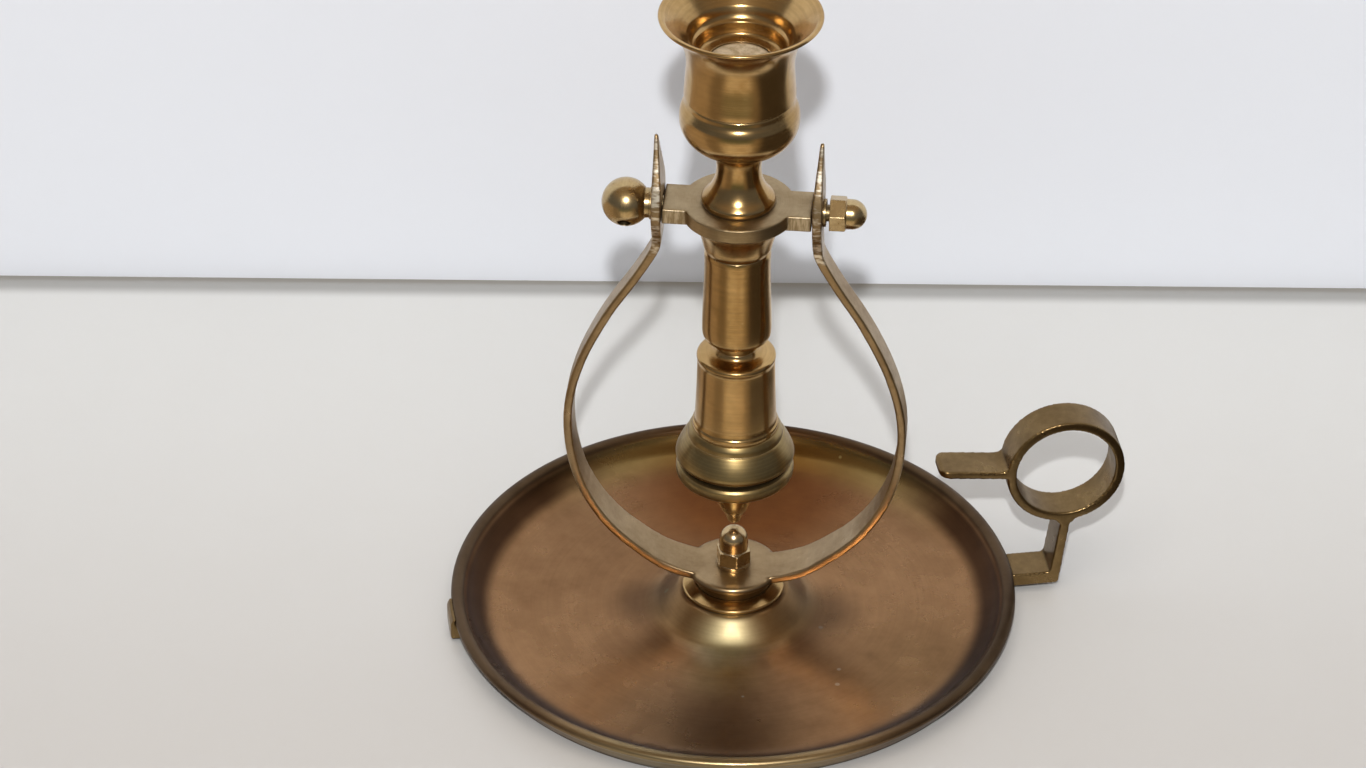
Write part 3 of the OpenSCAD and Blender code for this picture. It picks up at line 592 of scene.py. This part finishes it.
def metal(name, bright, dull, worn, roughness, on_pivot=False, lines=0.5, pitch=0.0004, patch=0.02,
          contrast=0.5, scratches=0.3, specks=0.2, speck_size=0.1, corner_shade=0.7, edge=0.0003, wear=0.6,
          zones=(), painted_spots=(), filed=()):
    """A worked brass surface: tarnish, tool lines, scratches, spots, painted shade in corners, bright edges.

    The colours are those of clean, tarnished and rubbed metal. Pitch, patch and edge are in metres.
    """
    made, tree, output = new_material(name)
    position = rest_position(tree, on_pivot)
    inputs = {"Position": position, "Patch Size": patch, "Contrast": contrast}
    tarnish = use_group(tree, CLOUDY_TARNISH, inputs)["Tarnish"]
    rings = use_group(tree, TURNING_LINES, {"Position": position, "Pitch": pitch})["Lines"]
    hair = use_group(tree, FINE_SCRATCHES, {"Position": position, "Amount": scratches})["Scratches"]
    spots = use_group(tree, SPECKS, {"Position": position, "Size": speck_size, "Share": specks})["Specks"]
    rubbed = use_group(tree, EDGE_WEAR, {"Position": position, "Width": edge})
    # Painted shade: ambient occlusion darkens corners and recesses, which are also made rougher
    shaded_corners = use_group(tree, CORNER_SHADE, {"Position": position})["Corner Shade"]
    shaded_corners = sums(tree, "MULTIPLY", shaded_corners, corner_shade)

    tone = blend_colour(tree, tarnish, bright, dull)
    shade = spread(tree, rings, 0.3, 0.7, 1.0 - RING_DARKENS * lines, 1.0 + RING_LIGHTENS * lines)
    shade = node(tree, "ShaderNodeCombineColor", {0: shade, 1: shade, 2: shade}).outputs[0]
    tone = blend_colour(tree, 1.0, tone, shade, "MULTIPLY")
    tone = blend_colour(tree, sums(tree, "MULTIPLY", hair, SCRATCH_COVER), tone, worn)
    tone = blend_colour(tree, sums(tree, "MULTIPLY", rubbed["Wear"], wear), tone, worn)
    tone = blend_colour(tree, sums(tree, "MULTIPLY", spots, SPOT_COVER), tone, WAX)
    tone = blend_colour(tree, shaded_corners, tone, CORNER_SHADE_TONE)

    rough = sums(tree, "MULTIPLY_ADD", tarnish, TARNISH_ROUGHER, roughness - TARNISH_ROUGHER / 2)
    rough = sums(tree, "MULTIPLY_ADD", hair, SCRATCH_ROUGHER, rough)
    rough = sums(tree, "MULTIPLY_ADD", spots, SPOT_ROUGHER, rough)
    rough = sums(tree, "MULTIPLY_ADD", shaded_corners, CORNER_SHADE_ROUGHER, rough)

    height = sums(tree, "MULTIPLY", sums(tree, "SUBTRACT", rings, 0.5), lines)
    tone, rough = banded(tree, position, zones, tone, rough)
    tone, rough = paint_spots(tree, position, painted_spots, tone, rough)
    tone, rough, height = file_marked(tree, position, filed, worn, tone, rough, height)
    height = sums(tree, "MULTIPLY_ADD", hair, SCRATCH_HEIGHT, height)
    height = sums(tree, "MULTIPLY_ADD", spots, SPOT_HEIGHT, height)
    inputs = {"Strength": RELIEF_STRENGTH, "Distance": RELIEF_DEPTH, "Height": height,
              "Normal": rubbed["Rounded"]}
    relief = node(tree, "ShaderNodeBump", inputs).outputs[0]
    inputs = {"Base Color": tone, "Metallic": 1.0, "Roughness": rough, "Normal": relief}
    shader = node(tree, "ShaderNodeBsdfPrincipled", inputs)
    tree.links.new(shader.outputs[0], output.inputs[0])
    return made


def lead():
    """Dull grey weight metal with a pale bloom."""
    made, tree, output = new_material("dull lead")
    position = rest_position(tree)
    cloud = use_group(tree, CLOUDY_TARNISH, {"Position": position, "Patch Size": 0.008, "Contrast": 0.6})
    tone = blend_colour(tree, cloud["Tarnish"], colour(0.20, 0.20, 0.21), colour(0.38, 0.38, 0.38))
    hair = use_group(tree, FINE_SCRATCHES, {"Position": position, "Amount": 0.4})["Scratches"]
    tone = blend_colour(tree, sums(tree, "MULTIPLY", hair, 0.4), tone, colour(0.5, 0.5, 0.52))
    rough = sums(tree, "MULTIPLY_ADD", cloud["Tarnish"], 0.2, 0.5)
    inputs = {"Base Color": tone, "Metallic": 0.8, "Roughness": rough}
    shader = node(tree, "ShaderNodeBsdfPrincipled", inputs)
    tree.links.new(shader.outputs[0], output.inputs[0])
    return made


# Painted light in bands: dark reflection on the wall at the sides and front, lighter olive highlight on the
# wall at the back, dark reflection on the lip, pale highlight on the lip at the front, painted sheen on the
# cone
PAN_PAINTED_BANDS = (
    ((63.0, 67.5), (70.5, 71.8), colour(0.20, 0.17, 0.155), 0.04, (0, 74, 4), 34, 66),
    ((56.0, 68.0), (71.0, 71.8), colour(0.98, 1.30, 1.10), -0.03, (0, 74, 4), 72, 30),
    ((71.0, 71.8), (90, 91), colour(0.36, 0.42, 0.50), 0.12, (0, -76, 7), 24, 60),
    ((71.0, 71.8), (90, 91), colour(1.30, 1.75, 2.00), 0.06, (0, -76, 7), 58, 22),
    ((0, 0.1), (19.5, 25), colour(1.05, 1.15, 1.10), 0.08, (0, 0, 90), 0, 1),
)
# Painted highlight on the front of the cone and its foot, then painted dark reflections: front, back, both
# sides of the cone, right
PAN_PAINTED_SPOTS = (
    ((0, -19, 4), 3, 13, colour(1.50, 2.10, 2.70), 0.04),
    ((0, -32, 1), 2, 15, colour(1.05, 1.20, 1.15), 0.02),
    ((-4, -58, 1), 4, 44, colour(0.52, 0.54, 0.56), 0.0),
    ((0, 50, 1), 14, 46, colour(0.60, 0.38, 0.19), -0.05),
    ((-22, -2, 2), 3, 15, colour(0.52, 0.52, 0.54), 0.0),
    ((23, -2, 2), 3, 16, colour(0.45, 0.45, 0.46), 0.0),
    ((52, -24, 1), 4, 36, colour(0.84, 0.86, 0.82), 0.0),
)
EAR_FILING = ((250, 250, 650), (20.4, 0, 130), (3, 10, 16), 0.90, 0.12)
ARM_FILING = ((1500, 200, 200), (18, 6.5, 127), (5.5, 1.5, 4), 0.55, 1.4)

FINISH = {
    "pan": metal("brown pan brass", colour(0.355, 0.195, 0.090), colour(0.24, 0.125, 0.054),
                 colour(0.60, 0.42, 0.24), 0.29, lines=0.25, pitch=0.0006, patch=0.05, contrast=0.55,
                 scratches=0.25, specks=0.10, speck_size=0.14, edge=0.0005, wear=0.1,
                 zones=PAN_PAINTED_BANDS, painted_spots=PAN_PAINTED_SPOTS),
    "turned": metal("turned brass", colour(0.60, 0.40, 0.175), colour(0.44, 0.275, 0.105),
                    colour(0.90, 0.70, 0.42), 0.215, lines=0.5, patch=0.018, specks=0.05),
    "bell": metal("rubbed bell brass", colour(0.41, 0.30, 0.135), colour(0.29, 0.20, 0.08),
                  colour(0.90, 0.72, 0.46), 0.33, lines=0.6, patch=0.012, specks=0.10),
    "strap": metal("forged strap brass", colour(0.42, 0.30, 0.165), colour(0.29, 0.195, 0.098),
                   colour(0.97, 0.88, 0.72), 0.33, lines=0.15, patch=0.012, specks=0.06,
                   wear=0.12, filed=(EAR_FILING,)),
    "plate": metal("filed plate brass", colour(0.445, 0.34, 0.20), colour(0.33, 0.24, 0.13),
                   colour(0.85, 0.72, 0.52), 0.36, lines=0.5, patch=0.010, specks=0.08, wear=0.5,
                   filed=(ARM_FILING,)),
    "cast": metal("cast handle brass", colour(0.26, 0.172, 0.074), colour(0.155, 0.098, 0.040),
                  colour(0.70, 0.58, 0.40), 0.31, lines=0.1, patch=0.012, specks=0.12,
                  wear=0.45),
    "nut": metal("polished nut brass", colour(0.70, 0.53, 0.30), colour(0.50, 0.35, 0.17),
                 colour(0.95, 0.82, 0.60), 0.24, lines=0.3, patch=0.006, specks=0.05),
    "pivot": metal("polished pivot brass", colour(0.62, 0.47, 0.25), colour(0.45, 0.31, 0.14),
                   colour(0.95, 0.82, 0.60), 0.25, on_pivot=True, lines=0.3, patch=0.006,
                   specks=0.05),
    "seat": metal("pale seat brass", colour(0.76, 0.62, 0.42), colour(0.52, 0.40, 0.24),
                  colour(0.90, 0.80, 0.62), 0.42, lines=0.4, patch=0.003, contrast=0.8, specks=0.5,
                  speck_size=0.2, corner_shade=0.5),
    # Painted shade: the swivel disc, which sits in shade under the hub, is a darker copy of the brass
    "disc": metal("swivel brass with painted shade", colour(0.32, 0.215, 0.10), colour(0.20, 0.13, 0.055),
                  colour(0.45, 0.30, 0.15), 0.32, lines=0.5, patch=0.008, specks=0.05, wear=0.4),
    "lead": lead(),
}

FINISH_OF = {
    "pan": "pan", "cone_collar": "turned", "swivel_disc": "disc", "centre_bolt": "nut",
    "bolt_washer": "nut", "hub_washer": "nut", "hub_nut": "nut", "handle": "cast", "lug": "cast",
    "yoke": "strap", "gimbal_plate": "plate", "candle_cup": "turned", "candle_seat": "seat",
    "stem_collar": "turned", "upper_stem": "turned", "lower_stem": "turned", "bell": "bell",
    "bell_weight": "lead", "bell_ring": "bell", "bell_cap": "bell", "tie_rod": "nut",
    "finial_nut": "nut", "pivot_stud": "pivot", "pivot_washer": "pivot", "pivot_nut": "pivot",
    "ball_washer": "pivot", "ball_screw": "pivot",
}

for node_name, finish in FINISH_OF.items():
    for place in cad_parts[node_name].material_slots:
        place.material = FINISH[finish]
    if node_name in PIECES:
        PIECES[node_name].data.materials.append(FINISH[finish])


# Table, wall, lamp and room

WALL_FOOT = Vector((-28.2, 152.1, 0)) * MM
WALL_RUN = Vector((398.0, 35.2, 0)).normalized()
REACH = 1.6  # metres, half the width of the wall and of the table
WALL_TOP = Vector((0, 0, 0.6))
GAP = Vector((0, 0, 0.9 * MM))
RECESS = Vector((0, 2 * MM, 0))
ROOM_BEGINS = (98, 118)  # mm from the axis, where the metal stops showing the table
ROOM_ENDS = (110, 150)  # mm towards the wall, where it shows the table again
LAMP_ABOVE_LENS = Vector((-10, 0, 158)) * MM


def panel(name, corners, material):
    """A flat four-cornered sheet for the surroundings."""
    mesh = bpy.data.meshes.new(name)
    mesh.from_pydata([tuple(corner) for corner in corners], [], [(0, 1, 2, 3)])
    mesh.materials.append(material)
    made = bpy.data.objects.new(name, mesh)
    scene.collection.objects.link(made)
    return made


def painted(name, base, roughness, mottle):
    """A pale painted surface with a faint mottle, clear from behind."""
    made, tree, output = new_material(name)
    position = node(tree, "ShaderNodeTexCoord").outputs["Object"]
    cloud = use_group(tree, CLOUDY_TARNISH, {"Position": position, "Patch Size": 0.12, "Contrast": 0.3})
    darker = tuple(part * (1 - mottle) for part in base[:3]) + (1.0,)
    tone = blend_colour(tree, cloud["Tarnish"], base, darker)
    rough = sums(tree, "MULTIPLY_ADD", cloud["Tarnish"], 0.06, roughness)
    shader = node(tree, "ShaderNodeBsdfPrincipled", {"Base Color": tone, "Roughness": rough})
    behind = node(tree, "ShaderNodeNewGeometry").outputs["Backfacing"]
    clear = node(tree, "ShaderNodeBsdfTransparent").outputs[0]
    surface = node(tree, "ShaderNodeMixShader", {0: behind, 1: shader.outputs[0], 2: clear}).outputs[0]
    tree.links.new(surface, output.inputs[0])
    return made


def room_in_the_shine(tree, position):
    """What the metal shows in place of the table: a bright middle, darker sides, a dark far end.

    Away is in metres from the axis. Aside is -1 at the left, 0 in front and 1 at the right.
    """
    away = distance_from_axis(tree, position)
    sideways = node(tree, "ShaderNodeSeparateXYZ", {0: position}).outputs[0]
    aside = sums(tree, "DIVIDE", sideways, away)
    either = sums(tree, "ABSOLUTE", aside)
    cloud = use_group(tree, CLOUDY_TARNISH, {"Position": position, "Patch Size": 0.10, "Contrast": 1.0})
    tone = blend_colour(tree, cloud["Tarnish"], colour(0.80, 0.70, 0.56), colour(0.62, 0.50, 0.36))
    tone = blend_colour(tree, spread(tree, away, 0.32, 0.42), tone, colour(0.16, 0.17, 0.12))
    tone = blend_colour(tree, spread(tree, either, 0.34, 0.62), tone, colour(0.27, 0.21, 0.15))
    tone = blend_colour(tree, spread(tree, aside, 0.60, 0.78), tone, colour(0.07, 0.055, 0.04))
    left = spread(tree, aside, -0.93, -0.78, 1.0, 0.0)
    return blend_colour(tree, left, tone, colour(0.46, 0.36, 0.26))


def table_paint():
    """Pale table: a shadowed groove at the wall, then painted bounce light: whitest next to the wall, greyer
    towards the front.

    The metal shows the room in place of the table beyond the pan's shadow.
    """
    made, tree, output = new_material("warm white table")
    position = node(tree, "ShaderNodeTexCoord").outputs["Object"]
    cloud = use_group(tree, CLOUDY_TARNISH, {"Position": position, "Patch Size": 0.12, "Contrast": 0.3})
    square = Vector((WALL_RUN.y, -WALL_RUN.x, 0))
    inputs = {0: position, 1: tuple(WALL_FOOT)}
    from_foot = node(tree, "ShaderNodeVectorMath", inputs, operation="SUBTRACT").outputs[0]
    inputs = {0: from_foot, 1: tuple(square)}
    reach = node(tree, "ShaderNodeVectorMath", inputs, operation="DOT_PRODUCT").outputs["Value"]
    # Painted light: paler near the wall, where the wall's bounce light falls, greyer towards the front
    far = spread(tree, reach, 0.01, 0.24)
    tone = blend_colour(tree, far, colour(0.665, 0.68, 0.68), colour(0.53, 0.522, 0.508))
    groove = spread(tree, reach, 0.0035, 0.009, 1.0, 0.0)
    tone = blend_colour(tree, groove, tone, colour(0.36, 0.365, 0.36))
    tone = blend_colour(tree, sums(tree, "MULTIPLY", cloud["Tarnish"], 0.06), tone, colour(0.5, 0.48, 0.45))
    rough = sums(tree, "MULTIPLY_ADD", cloud["Tarnish"], 0.06, 0.40)
    shader = node(tree, "ShaderNodeBsdfPrincipled", {"Base Color": tone, "Roughness": rough})
    # Painted reflection: for glossy rays the table glows with the painted room instead of its own shading
    glow = node(tree, "ShaderNodeEmission", {"Color": room_in_the_shine(tree, position), "Strength": 1.0})
    in_metal = node(tree, "ShaderNodeLightPath").outputs["Is Glossy Ray"]
    away = spread(tree, distance_from_axis(tree, position), ROOM_BEGINS[0] * MM, ROOM_BEGINS[1] * MM)
    deep = node(tree, "ShaderNodeSeparateXYZ", {0: position}).outputs[1]
    in_front = spread(tree, deep, ROOM_ENDS[0] * MM, ROOM_ENDS[1] * MM, 1.0, 0.0)
    out_there = sums(tree, "MULTIPLY", sums(tree, "MULTIPLY", in_metal, away), in_front)
    mixed = node(tree, "ShaderNodeMixShader", {0: out_there, 1: shader.outputs[0], 2: glow.outputs[0]})
    tree.links.new(mixed.outputs[0], output.inputs[0])
    return made


def surroundings():
    """White wall with a dark joint at its foot, on a pale table."""
    left = WALL_FOOT - WALL_RUN * REACH
    right = WALL_FOOT + WALL_RUN * REACH
    wall_paint = painted("cool white wall", colour(0.815, 0.85, 0.915), 0.6, 0.01)
    gap_paint = painted("shadowed joint", colour(0.16, 0.14, 0.12), 0.8, 0.1)
    panel("wall", (left + GAP, right + GAP, right + WALL_TOP, left + WALL_TOP), wall_paint)
    left += RECESS
    right += RECESS
    panel("wall_joint", (left, right, right + GAP * 2, left + GAP * 2), gap_paint)
    corners = ((-REACH, -REACH, 0), (REACH, -REACH, 0), (REACH, REACH, 0), (-REACH, REACH, 0))
    panel("table_top", corners, table_paint())


surroundings()


def lamp(name, place, aim, size, power, tint):
    """A square lamp pointed at a spot. Places and size are in metres, power in watts."""
    data = bpy.data.lights.new(name, "AREA")
    data.size = size
    data.energy = power
    data.color = tint
    made = bpy.data.objects.new(name, data)
    made.location = place
    made.rotation_mode = "QUATERNION"
    made.rotation_quaternion = (Vector(aim) - Vector(place)).to_track_quat("-Z", "Y")
    scene.collection.objects.link(made)
    return made


lamp("front_lamp", place=camera.location + LAMP_ABOVE_LENS, aim=(0, 0, 0.08), size=0.03, power=13.0,
     tint=(1.0, 0.995, 0.99))
bounce = lamp("bounce_lamp", place=(0, -0.5, 1.5), aim=(0, 0.1, 0.1), size=1.2, power=9.0,
              tint=(1.0, 0.94, 0.87))
bounce.visible_glossy = False


def room():
    """Soft grey-brown room round the table, paler overhead."""
    world = bpy.data.worlds.new("room")
    scene.world = world
    world.use_nodes = True
    tree = world.node_tree
    tree.nodes.clear()
    way = node(tree, "ShaderNodeTexCoord").outputs["Generated"]
    apart = node(tree, "ShaderNodeSeparateXYZ", {0: way}).outputs
    rise = spread(tree, apart[2], 0.35, 0.95)
    tone = blend_colour(tree, rise, colour(0.14, 0.143, 0.155), colour(0.32, 0.24, 0.16))
    light = node(tree, "ShaderNodeBackground", {"Color": tone, "Strength": 1.0})
    output = node(tree, "ShaderNodeOutputWorld")
    tree.links.new(light.outputs[0], output.inputs[0])


room()
scene.view_settings.view_transform = "Standard"
